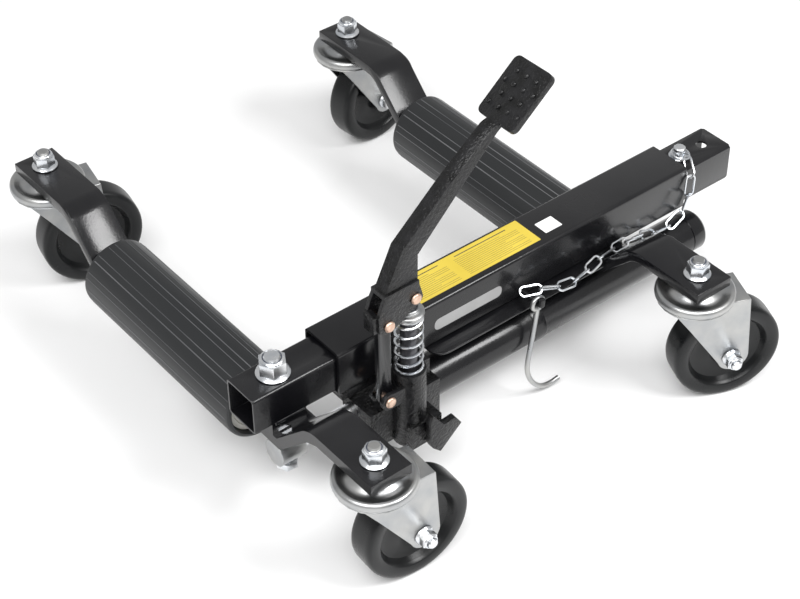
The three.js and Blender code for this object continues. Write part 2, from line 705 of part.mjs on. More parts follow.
// Fish-tailed foot lever on the release valve's stem.
function releaseLever() {
  const x = pumpX + 10;
  const z = pumpBaseZ + 13;
  const front = pumpY - 18;
  const shape = outline([
    [-8, 21], [-8, -6], [-5, -12], [4, -21], [29, 1], [22, 12], [8, 11], [-5, 29],
  ].map(([dx, dz]) => [x + dx, z + dz]));
  return build([
    alongY(shape, front - 11, front - 4),
    rodYAxis(x, z, front - 5, front + 10, 4, 12),
  ]);
}

// ---- assembly ----
const boltHole = addRam();
const tubeBoltHoleRadius = tubeBoltRadius + boltClearance;
const tubeBoltHole = rodZAxis(tubeBoltX, 0, armLowBottom - 1, innerTubeBottom, tubeBoltHoleRadius);
const blockHalf = 18;
const leftBlockEnd = outerTubeStart - armStroke - 1;
const leftBlock = box(leftArmX - barWidth / 2, leftBlockEnd, -blockHalf, blockHalf,
  armLowTop - 1, innerTubeBottom - gap);
const rightBlock = box(rightArmX - barWidth / 2, rightArmX + barWidth / 2, -blockHalf, blockHalf,
  armLowTop - 1, outerTubeBottom - gap);
const leftHoles = [boltHole, tubeBoltHole];
const [nearStemY, farStemY] = addArms("left", leftArmX, { geometry: leftBlock, holes: leftHoles });
addArms("right", rightArmX, { geometry: rightBlock, holes: [] });
addRoller("left", leftArmX);
addRoller("right", rightArmX);
addCastor("left_near", leftArmX, nearStemY, -3);
addCastor("right_near", rightArmX, nearStemY, -22);
addCastor("left_far", leftArmX, farStemY, -11);
addCastor("right_far", rightArmX, farStemY, 6);
addBeam();
add("lock_pin", lockPin(), zinc);
add("pin_chain", chain(), zinc);
add("hook_bracket", hookBracket(), paint);
add("storage_hook", storageHook(), zinc);
add("side_rail", sideRail(), paint);
add("pump_body", pumpBody(), casting);
add("pump_piston", pumpPiston(), darkSteel);
add("pump_spring", pumpSpring(), zinc);
add("spring_cap", springCap(), zinc);
add("pedal", pedal(), casting);
add("pedal_link", pedalLink(), paint);
add("fulcrum_rivet", rivet(fulcrumX, fulcrumZ), copper);
add("piston_rivet", rivet(fulcrumX + pistonPinDX, pistonPinZ), copper);
add("link_rivet", rivet(fulcrumX, linkZ), copper);
add("release_lever", releaseLever(), casting);

// The origin is on the floor, under the middle of the whole object.
const extent = new THREE.Box3().setFromObject(dolly, true);
const middle = extent.getCenter(new THREE.Vector3());
dolly.position.set(-middle.x, -middle.y, 0);

export default dolly;
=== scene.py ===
import json
import math

import bmesh
import bpy
from mathutils import Matrix, Vector

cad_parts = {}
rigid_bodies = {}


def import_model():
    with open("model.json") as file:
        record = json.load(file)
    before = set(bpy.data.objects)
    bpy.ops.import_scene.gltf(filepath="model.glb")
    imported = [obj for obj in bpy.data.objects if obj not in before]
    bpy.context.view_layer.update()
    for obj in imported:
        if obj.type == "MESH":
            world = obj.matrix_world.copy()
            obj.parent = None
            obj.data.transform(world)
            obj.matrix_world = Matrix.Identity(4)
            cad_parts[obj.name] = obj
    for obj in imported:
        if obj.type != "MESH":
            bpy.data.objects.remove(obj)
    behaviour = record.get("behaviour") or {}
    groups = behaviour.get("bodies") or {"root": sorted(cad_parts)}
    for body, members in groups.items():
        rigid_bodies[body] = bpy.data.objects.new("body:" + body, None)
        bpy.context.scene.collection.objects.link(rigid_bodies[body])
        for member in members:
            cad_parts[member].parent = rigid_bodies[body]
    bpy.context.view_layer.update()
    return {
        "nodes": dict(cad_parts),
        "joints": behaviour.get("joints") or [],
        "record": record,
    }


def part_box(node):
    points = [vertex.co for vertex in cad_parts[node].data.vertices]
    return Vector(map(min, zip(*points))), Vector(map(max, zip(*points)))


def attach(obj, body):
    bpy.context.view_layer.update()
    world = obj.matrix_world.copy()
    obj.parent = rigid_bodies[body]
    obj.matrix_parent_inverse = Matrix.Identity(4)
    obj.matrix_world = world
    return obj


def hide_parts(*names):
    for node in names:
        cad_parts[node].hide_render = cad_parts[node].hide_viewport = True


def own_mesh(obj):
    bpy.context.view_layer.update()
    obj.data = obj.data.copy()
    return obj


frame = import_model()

MM = 0.001
nodes = frame["nodes"]
record = frame["record"]
joints = {joint["name"]: joint for joint in frame["joints"]}
node_body = {node: body for body, members in record["behaviour"]["bodies"].items() for node in members}
node_slot = {part["node"]: part["material_slot"] for part in record["subparts"]}

# Places are given in millimetres from the open left end of the beam, its centre plane and the floor.
beam_low, beam_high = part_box("inner_tube")
start_x = beam_low.x
centre_y = (beam_low.y + beam_high.y) / 2
SEAM = 0.3
ARM_THICKNESS = 11


def at(x, y, z):
    return Vector((start_x + x * MM, centre_y + y * MM, z * MM))


def middle(node):
    """The middle of a node, in the same millimetres."""
    low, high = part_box(node)
    centre = (low + high) / 2
    return (centre.x - start_x) / MM, (centre.y - centre_y) / MM, centre.z / MM


# ---- camera ----
CAMERA_PLACE = (-650.4, -1047.7, 1313.8)
azimuth, elevation, roll = math.radians(-38.41), math.radians(40.70), math.radians(-0.66)
camera_data = bpy.data.cameras.new("camera")
camera_data.sensor_width = 36
camera_data.lens = 86.51
camera_data.clip_start = 0.05
camera_data.clip_end = 50
camera = bpy.data.objects.new("camera", camera_data)
bpy.context.scene.collection.objects.link(camera)
bpy.context.scene.camera = camera
back = Vector((
    math.sin(azimuth) * math.cos(elevation),
    -math.cos(azimuth) * math.cos(elevation),
    math.sin(elevation),
))
level_right = (-back).cross(Vector((0, 0, 1))).normalized()
level_up = level_right.cross(-back)
right = level_right * math.cos(roll) + level_up * math.sin(roll)
up = level_up * math.cos(roll) - level_right * math.sin(roll)
facing = Matrix((right, up, back)).transposed().to_4x4()
camera.matrix_world = Matrix.Translation(at(*CAMERA_PLACE)) @ facing


# ---- finishes ----
def noise(tree, coordinates, scale, detail=3.0, stretch=(1, 1, 1)):
    mapping = tree.nodes.new("ShaderNodeMapping")
    mapping.inputs["Scale"].default_value = stretch
    texture = tree.nodes.new("ShaderNodeTexNoise")
    texture.inputs["Scale"].default_value = scale
    texture.inputs["Detail"].default_value = detail
    tree.links.new(coordinates, mapping.inputs["Vector"])
    tree.links.new(mapping.outputs["Vector"], texture.inputs["Vector"])
    return texture.outputs["Fac"]


def blended(tree, factor, low, high, start=0.35, end=0.65):
    ramp = tree.nodes.new("ShaderNodeValToRGB")
    ramp.color_ramp.elements[0].position = start
    ramp.color_ramp.elements[0].color = (*low, 1)
    ramp.color_ramp.elements[1].position = end
    ramp.color_ramp.elements[1].color = (*high, 1)
    tree.links.new(factor, ramp.inputs["Fac"])
    return ramp.outputs["Color"]


def ranged(tree, factor, low, high, start=0.3, end=0.7):
    spread = tree.nodes.new("ShaderNodeMapRange")
    spread.inputs["From Min"].default_value = start
    spread.inputs["From Max"].default_value = end
    spread.inputs["To Min"].default_value = low
    spread.inputs["To Max"].default_value = high
    tree.links.new(factor, spread.inputs["Value"])
    return spread.outputs["Result"]


def surface(name, colours, roughness, metallic=0.0, patches=30, fine=900, bump=0.15, depth=0.0004,
            coat=0.0, stretch=(1, 1, 1), specular=0.5):
    """A finish whose colour and gloss drift in patches, over a fine bump."""
    material = bpy.data.materials.new(name)
    material.use_nodes = True
    tree = material.node_tree
    shader = tree.nodes["Principled BSDF"]
    coordinates = tree.nodes.new("ShaderNodeTexCoord").outputs["Object"]
    broad = noise(tree, coordinates, patches, 4, stretch)
    small = noise(tree, coordinates, fine, 2, stretch)
    tree.links.new(blended(tree, broad, *colours), shader.inputs["Base Color"])
    tree.links.new(ranged(tree, broad, *roughness), shader.inputs["Roughness"])
    relief = tree.nodes.new("ShaderNodeBump")
    relief.inputs["Strength"].default_value = bump
    relief.inputs["Distance"].default_value = depth
    tree.links.new(small, relief.inputs["Height"])
    tree.links.new(relief.outputs["Normal"], shader.inputs["Normal"])
    shader.inputs["Metallic"].default_value = metallic
    shader.inputs["Specular IOR Level"].default_value = specular
    shader.inputs["Coat Weight"].default_value = coat
    shader.inputs["Coat Roughness"].default_value = 0.08
    return material


gloss_paint = surface(
    "gloss_black_paint", ((0.004, 0.004, 0.005), (0.008, 0.008, 0.009)), (0.16, 0.30),
    patches=14, fine=420, bump=0.22, coat=0.12, specular=0.4,
)
rough_casting = surface(
    "black_casting_paint", ((0.002, 0.002, 0.002), (0.007, 0.007, 0.008)), (0.22, 0.42),
    patches=90, fine=330, bump=1.0, depth=0.0012, coat=0.1, specular=0.35,
)
bright_zinc = surface(
    "bright_zinc_plate", ((0.62, 0.65, 0.69), (0.80, 0.81, 0.82)), (0.18, 0.34),
    metallic=1.0, patches=45, fine=600, bump=0.10,
)
satin_zinc = surface(
    "satin_zinc_plate", ((0.36, 0.37, 0.38), (0.47, 0.47, 0.46)), (0.26, 0.42),
    metallic=1.0, patches=38, fine=800, bump=0.14,
)
wheel_moulding = surface(
    "black_nylon_wheel", ((0.003, 0.0035, 0.004), (0.008, 0.0085, 0.009)), (0.24, 0.4),
    patches=25, fine=1200, bump=0.12, specular=0.32,
)
sleeve_paint = surface(
    "ribbed_sleeve", ((0.008, 0.009, 0.010), (0.016, 0.017, 0.018)), (0.34, 0.46),
    patches=9, fine=500, bump=0.12, stretch=(1, 0.12, 1), specular=0.4,
)
# Painted highlight: the ribs' light grey stands for the bright lines that the dark sleeve's facet edges
# reflect, not a colour of their own.
rib_painted_highlight = surface(
    "sleeve_rib_painted_highlight", ((0.05, 0.052, 0.056), (0.12, 0.122, 0.126)), (0.35, 0.5),
    patches=40, stretch=(1, 0.2, 1), bump=0.1,
)
dark_steel = surface(
    "dark_steel", ((0.05, 0.05, 0.055), (0.11, 0.11, 0.12)), (0.3, 0.45), metallic=0.9, patches=50,
)
rivet_copper = surface(
    "coppered_rivet", ((0.55, 0.36, 0.27), (0.78, 0.58, 0.46)), (0.3, 0.45),
    metallic=0.85, patches=160, fine=900, bump=0.2,
)
bush_nylon = surface("bush_nylon", ((0.50, 0.49, 0.45), (0.60, 0.59, 0.54)), (0.5, 0.6), patches=40)
insert_nylon = surface("nut_insert", ((0.05, 0.06, 0.09), (0.08, 0.09, 0.13)), (0.4, 0.5), patches=80)
label_yellow = surface(
    "yellow_label", ((0.58, 0.44, 0.047), (0.65, 0.50, 0.062)), (0.32, 0.42),
    patches=18, fine=1500, bump=0.03,
)
label_ink = surface("label_ink", ((0.05, 0.045, 0.03), (0.09, 0.08, 0.05)), (0.4, 0.5), patches=120)
panel_grey = surface(
    "plain_panel", ((0.30, 0.30, 0.30), (0.36, 0.36, 0.36)), (0.4, 0.5), patches=30, bump=0.03,
)
label_white = surface(
    "white_label", ((0.80, 0.80, 0.80), (0.88, 0.88, 0.87)), (0.35, 0.45), patches=30, bump=0.03,
)
floor_paint = surface(
    "pale_floor", ((0.84, 0.84, 0.84), (0.86, 0.86, 0.86)), (0.7, 0.8), patches=2, bump=0.0,
)
FINISH = {
    "gloss_black_paint": gloss_paint,
    "black_casting": rough_casting,
    "bright_zinc": bright_zinc,
    "dark_steel": dark_steel,
    "copper_rivet": rivet_copper,
    "roller_sleeve": sleeve_paint,
    "wheel_plastic": wheel_moulding,
    "bush_plastic": bush_nylon,
}


# ---- making pieces ----
def clean(shape):
    bmesh.ops.remove_doubles(shape, verts=shape.verts, dist=2e-6)
    bmesh.ops.recalc_face_normals(shape, faces=shape.faces)
    return shape


def make(name, shape, body, finish, replaced=(), smooth=38):
    """Turns a finished bmesh into a piece that rides on its body."""
    mesh = bpy.data.meshes.new(name)
    clean(shape).to_mesh(mesh)
    shape.free()
    mesh.shade_smooth()
    mesh.set_sharp_from_angle(angle=math.radians(smooth))
    mesh.materials.append(finish)
    piece = bpy.data.objects.new(name, mesh)
    bpy.context.scene.collection.objects.link(piece)
    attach(piece, body)
    if replaced:
        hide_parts(*replaced)
    return piece


def stand_for(node, shape, finish=None, smooth=38):
    """A detailed piece in place of one CAD node."""
    slot = node_slot[node]
    return make(node + "_detailed", shape, node_body[node], finish or FINISH[slot], [node], smooth)


def add_shape(target, source, matrix=None):
    """Joins source into target, moved by matrix, and frees source."""
    clean(source)
    if matrix is not None:
        bmesh.ops.transform(source, matrix=matrix, verts=source.verts)
        if matrix.determinant() < 0:
            bmesh.ops.reverse_faces(source, faces=source.faces)
    held = bpy.data.meshes.new("held")
    source.to_mesh(held)
    source.free()
    target.from_mesh(held)
    bpy.data.meshes.remove(held)
    return target


def moved(shape, matrix):
    return add_shape(bmesh.new(), shape, matrix)


def soften(shape, width, segments=2, angle=28, chosen=None):
    """Rounds the sharp edges, or those that chosen picks, to a width in millimetres."""
    edges = [
        e for e in shape.edges
        if len(e.link_faces) == 2
        and e.calc_face_angle(0) > math.radians(angle)
        and (chosen is None or chosen(e))
    ]
    if edges:
        bmesh.ops.bevel(
            shape, geom=edges, offset=width * MM, offset_type="OFFSET", segments=segments,
            profile=0.5, affect="EDGES", clamp_overlap=True, material=-1,
        )
    return shape


def copy_of(node):
    """The node's own surface with its triangles merged into whole faces."""
    shape = bmesh.new()
    shape.from_mesh(nodes[node].data)
    bmesh.ops.remove_doubles(shape, verts=shape.verts, dist=2e-5)
    bmesh.ops.dissolve_limit(shape, angle_limit=math.radians(0.6), verts=shape.verts, edges=shape.edges)
    return shape


def turned(profile, steps=48):
    """(radius, height) points in millimetres, turned about Z."""
    shape = bmesh.new()
    line = [shape.verts.new((r * MM, 0, h * MM)) for r, h in profile]
    edges = [shape.edges.new(pair) for pair in zip(line, line[1:])]
    bmesh.ops.spin(shape, geom=line + edges, axis=(0, 0, 1), cent=(0, 0, 0), angle=math.tau,
                   steps=steps, use_merge=True)
    return clean(shape)


def ring_profile(inner, outer, low, high):
    return [(inner, low), (outer, low), (outer, high), (inner, high), (inner, low)]


def threaded(radius, low, high, pitch=1.5, tip=1.0, groove=0.55):
    """Profile of a screwed end with its chamfered tip, from its foot to its axis."""
    points = [(radius, low)]
    turns = max(int((high - tip - low) / pitch), 1)
    for i in range(turns):
        foot = low + i * pitch
        points += [
            (radius, foot + 0.2 * pitch), (radius - groove, foot + 0.6 * pitch), (radius, foot + pitch),
        ]
    points += [(radius - tip, high), (0, high)]
    return points


def swept(points, radius, sides=12, closed=False, smooth=True):
    """A round wire of a radius in millimetres along points in metres."""
    curve = bpy.data.curves.new("route", "CURVE")
    curve.dimensions = "3D"
    curve.bevel_depth = radius * MM
    curve.bevel_resolution = max(sides // 4 - 1, 0)
    curve.use_fill_caps = not closed
    curve.resolution_u = 6
    spline = curve.splines.new("NURBS" if smooth else "POLY")
    spline.points.add(len(points) - 1)
    for point, place in zip(spline.points, points):
        point.co = (*place, 1)
    spline.use_cyclic_u = closed
    if smooth:
        spline.order_u = 3
        spline.use_endpoint_u = not closed
    holder = bpy.data.objects.new("route", curve)
    bpy.context.scene.collection.objects.link(holder)
    bpy.context.view_layer.update()
    mesh = bpy.data.meshes.new_from_object(holder.evaluated_get(bpy.context.evaluated_depsgraph_get()))
    shape = bmesh.new()
    shape.from_mesh(mesh)
    bpy.data.objects.remove(holder)
    bpy.data.curves.remove(curve)
    bpy.data.meshes.remove(mesh)
    return clean(shape)


def slab(length, width, thickness, corner=0.0, edge=0.3, segments=3):
    """A flat plate centred on the origin with rounded corners, lying on z = 0."""
    shape = bmesh.new()
    bmesh.ops.create_cube(shape, size=1)
    bmesh.ops.scale(shape, vec=(length * MM, width * MM, thickness * MM), verts=shape.verts)
    bmesh.ops.translate(shape, vec=(0, 0, thickness * MM / 2), verts=shape.verts)

    def upright(edge):
        return abs((edge.verts[0].co - edge.verts[1].co).z) > 0.5 * thickness * MM

    if corner:
        soften(shape, corner, 5, chosen=upright)
    if edge:
        soften(shape, edge, segments)
    return shape


ALONG_Y = Matrix.Rotation(-math.pi / 2, 4, "X")
ALONG_X = Matrix.Rotation(math.pi / 2, 4, "Y")


def placed(x, y, z, turn=None):
    return Matrix.Translation(at(x, y, z)) @ (turn or Matrix.Identity(4))


# ---- fasteners, standing on z = 0 ----
def hexagon(across_flats, low, high, chamfer=1.1, turn=0.0):
    shape = bmesh.new()
    radius = across_flats / math.sqrt(3) * MM
    depth = (high - low) * MM
    bmesh.ops.create_cone(shape, cap_ends=True, segments=6, radius1=radius, radius2=radius, depth=depth)
    bmesh.ops.rotate(shape, matrix=Matrix.Rotation(turn, 3, "Z"), verts=shape.verts)
    bmesh.ops.translate(shape, vec=(0, 0, (low + high) / 2 * MM), verts=shape.verts)
    soften(shape, 0.35, 2, chosen=lambda e: abs((e.verts[0].co - e.verts[1].co).z) > 1e-4)
    soften(shape, chamfer, 2, chosen=lambda e: min(v.co.z for v in e.verts) > (high - 0.01) * MM)
    return shape


def flange_nut(bolt, across_flats, flange, height):
    """A hexagon on its pressed flange, with the collar that holds the locking ring."""
    shape = turned([
        (bolt, 0), (flange - 0.4, 0), (flange, 0.5), (flange, 1.3), (flange - 0.8, 1.9),
        (across_flats * 0.53, 3.4), (across_flats * 0.50, 3.6), (bolt, 3.6), (bolt, 0),
    ])
    add_shape(shape, hexagon(across_flats, 2.0, height - 2.6))
    add_shape(shape, turned([
        (bolt + 0.9, height - 3.4), (across_flats * 0.47, height - 3.4), (across_flats * 0.47, height - 1.3),
        (across_flats * 0.44, height - 0.5), (across_flats * 0.38, height), (bolt + 1.4, height),
        (bolt + 0.9, height - 0.6), (bolt + 0.9, height - 3.4),
    ]))
    return shape


def plain_nut(bolt, across_flats, height):
    """A hexagon with the rounded collar of a locking nut."""
    shape = hexagon(across_flats, 0, height - 2.0, 0.8)
    add_shape(shape, turned([
        (bolt + 0.6, height - 3.0), (across_flats * 0.47, height - 3.0), (across_flats * 0.47, height - 1.2),
        (across_flats * 0.43, height - 0.3), (across_flats * 0.38, height), (bolt + 0.9, height),
        (bolt + 0.6, height - 0.4), (bolt + 0.6, height - 3.0),
    ]))
    return shape


def nut_insert(bolt, across_flats, height):
    """The plastic locking ring inside the nut's mouth."""
    outer = across_flats * 0.36
    return turned(ring_profile(bolt + 0.15, outer, height - 2.2, height - 0.45))


# ---- castors ----
FORK_OUTSIDE = 21.3
AXLE_RADIUS = 5
AXLE_FLATS = 14.9
STEM_RADIUS = 6


def raceway(prefix, here, arm_foot):
    """The pressed ball ring with the screwed stem that stands on it."""
    low, high = (corner.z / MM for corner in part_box(prefix + "raceway"))
    shape = turned([
        (0, low), (34, low), (37.2, low + 0.8), (38.3, low + 2.0), (38.7, low + 3.6), (38.6, low + 5.6),
        (38.1, low + 7.6), (36.6, low + 9.2), (34.6, low + 9.8), (32.8, low + 9.2), (30.2, low + 8.2),
        (27.4, low + 8.0), (24.8, low + 8.8), (22.6, low + 10.4), (20.4, low + 12.4), (18.2, low + 13.6),
        (15.0, arm_foot - SEAM), (STEM_RADIUS, arm_foot - SEAM),
        *threaded(STEM_RADIUS, arm_foot + 9, high, 1.25),
    ], 72)
    stand_for(prefix + "raceway", moved(shape, here), satin_zinc)


def stem_nut(prefix, place, body):
    stand_for(prefix + "stem_nut", moved(flange_nut(6.1, 19, 13, 16), place), bright_zinc)
    ring = moved(nut_insert(STEM_RADIUS, 19, 16), place)
    make(prefix + "nut_insert", ring, body, insert_nylon)


def fork(prefix):
    """The pressed fork, its crown more rounded than its legs."""
    shape = copy_of(prefix + "fork")
    crown_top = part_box(prefix + "fork")[1].z
    soften(shape, 2.6, 4, 60, chosen=lambda e: min(v.co.z for v in e.verts) > crown_top - 1e-5)
    soften(shape, 0.8, 2, 60)
    stand_for(prefix + "fork", shape, satin_zinc)


def wheel_disc(prefix, axle):
    side = [
        (5.6, 17), (11.6, 17), (12.8, 16.2), (13.4, 12.5), (15.2, 7.6), (18, 5.6), (33, 5.2), (37, 6.4),
        (39.8, 10.5), (41.2, 14.0), (42.4, 14.8), (47.5, 15.0), (50.8, 14.9), (52.8, 14.2), (54.1, 12.9),
        (54.8, 11), (55.0, 8),
    ]
    profile = side + [(radius, -width) for radius, width in reversed(side)] + [side[0]]
    stand_for(prefix + "wheel", moved(turned(profile, 84), axle))


def axle_and_nut(prefix, axle):
    """The bolt through the fork and wheel, with its nut on a washer."""
    bolt_end = FORK_OUTSIDE + 14.7
    bolt = turned([
        (0, -bolt_end), (4.2, -bolt_end), (AXLE_RADIUS, 1 - bolt_end), (AXLE_RADIUS, FORK_OUTSIDE + 1),
        (0, FORK_OUTSIDE + 1),
    ], 32)
    add_shape(bolt, hexagon(AXLE_FLATS, FORK_OUTSIDE, FORK_OUTSIDE + 5.2, 0.9))
    head_face = FORK_OUTSIDE + 5.5
    add_shape(bolt, turned([
        (0, head_face - 0.7), (6.0, head_face - 0.7), (6.0, head_face - 0.2), (5.4, head_face),
        (0, head_face),
    ], 32))
    stand_for(prefix + "axle", moved(bolt, axle), bright_zinc)
    nut = plain_nut(AXLE_RADIUS + 0.1, AXLE_FLATS, 12)
    add_shape(nut, turned([
        (5.1, 0), (9.4, 0), (9.8, 0.5), (9.4, 2.0), (8.4, 3.2), (5.1, 3.2), (5.1, 0),
    ]))
    flip = Matrix.Translation((0, 0, -FORK_OUTSIDE * MM)) @ Matrix.Rotation(math.pi, 4, "X")
    stand_for(prefix + "axle_nut", moved(nut, axle @ flip), bright_zinc)


def castor(name):
    swivel = joints[name + "_castor_swivel"]
    stem = Vector(swivel["pos_m"])
    wheel = Vector(joints[name + "_wheel_spin"]["pos_m"])
    trail = Vector((wheel.x - stem.x, wheel.y - stem.y, 0))
    turn = Matrix.Rotation(math.atan2(trail.y, trail.x), 4, "Z")
    here = Matrix.Translation((stem.x, stem.y, 0)) @ turn
    axle = here @ Matrix.Translation((trail.length, 0, wheel.z)) @ ALONG_Y
    prefix = name + "_castor_"
    nut_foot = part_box(prefix + "stem_nut")[0].z
    raceway(prefix, here, nut_foot / MM - ARM_THICKNESS - SEAM)
    stem_nut(prefix, here @ Matrix.Translation((0, 0, nut_foot)), swivel["parent"])
    fork(prefix)
    wheel_disc(prefix, axle)
    axle_and_nut(prefix, axle)


for castor_name in ("left_near", "right_near", "left_far", "right_far"):
    castor(castor_name)


# ---- arms and beam ----
def along_x(edge):
    run = edge.verts[0].co - edge.verts[1].co
    return abs(run.x) > 0.9 * run.length


def arm(node, tight):
    """A flat bar bent twice, with rounded bends on both faces."""
    bar = copy_of(node)
    low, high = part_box(node)
    halfway = (low.z + high.z) / 2

    def bend(upper, convex):
        def chosen(edge):
            run = (edge.verts[0].co - edge.verts[1].co).length
            place = (edge.verts[0].co.z + edge.verts[1].co.z) / 2
            across_bar = along_x(edge) and run > 0.8 * (high.x - low.x)
            rise_fold = 0.7 < edge.calc_face_angle(0) < 0.9
            same_side = (place > halfway) == upper and (edge.calc_face_angle_signed(0) > 0) == convex
            return across_bar and rise_fold and same_side
        return chosen

    for upper in (True, False):
        share = 1.0 if upper else tight
        soften(bar, 12.4 * share, 7, chosen=bend(upper, True))
        soften(bar, 7.9 * share, 7, chosen=bend(upper, False))
    soften(bar, 0.9, 2, 40)
    stand_for(node, bar)


for side in ("left", "right"):
    arm(f"{side}_near_arm", 1.0)
    arm(f"{side}_far_arm", 0.35)


def tube(node, outer_corner, inner_corner, half):
    shape = copy_of(node)

    def long_edge(edge):
        return along_x(edge) and (edge.verts[0].co - edge.verts[1].co).length > 0.2

    def outside(edge):
        return long_edge(edge) and abs(abs(edge.verts[0].co.y - centre_y) - half * MM) < 0.0003

    soften(shape, inner_corner, 3, chosen=lambda e: long_edge(e) and not outside(e))
    soften(shape, outer_corner, 5, chosen=outside)
    soften(shape, 0.35, 2, 50)
    return stand_for(node, shape)


tube("outer_tube", 4.0, 1.6, 25)
tube("inner_tube", 3.0, 1.4, 20)

tube_top = beam_high.z / MM
bolt_x = middle("tube_bolt")[0]
bolt_low, bolt_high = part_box("tube_bolt")
stand_for("tube_bolt", moved(turned([
    (0, bolt_low.z / MM), (8, bolt_low.z / MM), *threaded(8, tube_top + 9, bolt_high.z / MM, 1.75),
]), placed(bolt_x, 0, 0)), bright_zinc)
nut_place = placed(bolt_x, 0, tube_top + SEAM, Matrix.Rotation(0.5, 4, "Z"))
stand_for("tube_nut", moved(flange_nut(8.2, 24, 16, 19), nut_place), bright_zinc)
make("tube_nut_insert", moved(nut_insert(8, 24, 19), nut_place), "sliding_side",
     insert_nylon)


# ---- rollers ----
RIB_COUNT = 24


def sleeve(side, centre_line, radius, length):
    """The tubular sleeve with rolled ends."""
    bore = radius - 5.5
    skin = radius - 0.35
    shape = turned([
        (bore, 0.8), (radius - 4.7, 0), (radius - 4, 0), (radius - 2.2, 0.4), (radius - 0.8, 1.8),
        (skin, 4), (skin, length - 4),
        (radius - 0.8, length - 1.8), (radius - 2.2, length - 0.4), (radius - 4, length),
        (radius - 4.7, length), (bore, length - 0.8), (bore, 0.8),
    ], 120)
    stand_for(side + "_roller", moved(shape, centre_line @ ALONG_Y), smooth=30)


# Raised strips along the sleeve, coloured light grey as painted highlight lines on the facet edges.
def sleeve_ribs(side, centre_line, radius, length):
    ribs = bmesh.new()
    for i in range(RIB_COUNT):
        rib = slab(0.75 if i % 3 else 1.1, length - 9, 0.3, 0, 0.1, 1)
        bmesh.ops.translate(rib, vec=(0, length / 2 * MM, (radius - 0.42) * MM), verts=rib.verts)
        around = Matrix.Rotation(math.tau * (i + 0.3 * (i % 2)) / RIB_COUNT, 4, "Y")
        add_shape(ribs, rib, centre_line @ around)
    make(side + "_roller_ribs_painted_highlight", ribs, side + "_roller_body", rib_painted_highlight)


def roller_bush(node, centre):
    foot, head = (corner.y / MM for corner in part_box(node))
    shape = turned([
        (9.5, foot), (12.5, foot), (13.2, foot + 2), (26, foot + 2), (27, foot), (31.2, foot), (31.2, head),
        (27, head), (26, head - 2), (13.2, head - 2), (12.5, head), (9.5, head), (9.5, foot),
    ], 60)
    stand_for(node, moved(shape, centre), smooth=30)


def roller(side):
    low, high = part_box(side + "_roller")
    radius = (high.z - low.z) / 2 / MM
    length = (high.y - low.y) / MM
    line_x, line_z = (low.x + high.x) / 2, (low.z + high.z) / 2
    sleeve_line = Matrix.Translation((line_x, low.y, line_z))
    sleeve(side, sleeve_line, radius, length)
    sleeve_ribs(side, sleeve_line, radius, length)
    foot, head = (corner.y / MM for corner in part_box(side + "_roller_shaft"))
    centre = Matrix.Translation((line_x, 0, line_z)) @ ALONG_Y
    shaft = turned([(0, foot), (9, foot), (9, head), (0, head)], 40)
    stand_for(side + "_roller_shaft", moved(shaft, centre))
    for end in ("near", "far"):
        roller_bush(f"{side}_roller_{end}_bush", centre)


roller("left")
roller("right")


# ---- ram ----
ROD_Y, ROD_Z = middle("ram_rod")[1:]
BARREL_Z = middle("barrel_end_cap")[2]
BAND_START, BAND_END = 316, 332


def along_beam(node):
    """Where a node starts and ends along the beam, in millimetres."""
    low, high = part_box(node)
    return (low.x - start_x) / MM, (high.x - start_x) / MM


barrel_start, barrel_end = along_beam("oil_barrel")
barrel_axis = placed(0, ROD_Y, BARREL_Z, ALONG_X)
stand_for("oil_barrel", moved(turned([
    (19.5, barrel_start), (21.0, barrel_start), (21.5, barrel_start + 0.5),
    (21.5, BAND_START), (22.1, BAND_START + 1), (22.3, BAND_START + 2),
    (22.3, BAND_END - 2), (22.1, BAND_END - 1), (21.5, BAND_END),
    (21.5, barrel_end - 0.5), (21.0, barrel_end), (19.5, barrel_end), (19.5, barrel_start),
], 72), barrel_axis))
cap_start = barrel_end + SEAM
stand_for("barrel_end_cap", moved(turned([
    (0, cap_start), (21.0, cap_start), (21.5, cap_start + 0.5), (21.5, cap_start + 14.3),
    (21.0, cap_start + 15.5), (18.4, cap_start + 18.3), (17.2, cap_start + 19), (0, cap_start + 19),
], 60), barrel_axis))
rod_start, rod_end = along_beam("ram_rod")
stand_for("ram_rod", moved(turned([
    (0, rod_start), (7.4, rod_start), (8, rod_start + 0.6), (8, rod_end - 0.5), (7.5, rod_end), (0, rod_end),
], 48), placed(0, ROD_Y, ROD_Z, ALONG_X)), bright_zinc)
stand_for("rod_boss", soften(copy_of("rod_boss"), 0.9, 2, 35), satin_zinc, smooth=40)
boss_x = middle("rod_boss_bolt")[0]
boss_tip, boss_end = (corner.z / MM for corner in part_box("rod_boss_bolt"))
head_top = boss_tip + 11
boss_bolt = turned([
    (0, boss_tip), (5.2, boss_tip), (6, boss_tip + 0.9), (6, boss_end), (0, boss_end),
], 36)
add_shape(boss_bolt, hexagon(19, head_top - 7, head_top, 0.8, 0.4))
stand_for("rod_boss_bolt", moved(boss_bolt, placed(boss_x, ROD_Y, 0)), bright_zinc)

stand_for("side_rail", soften(copy_of("side_rail"), 0.5, 2, 40))

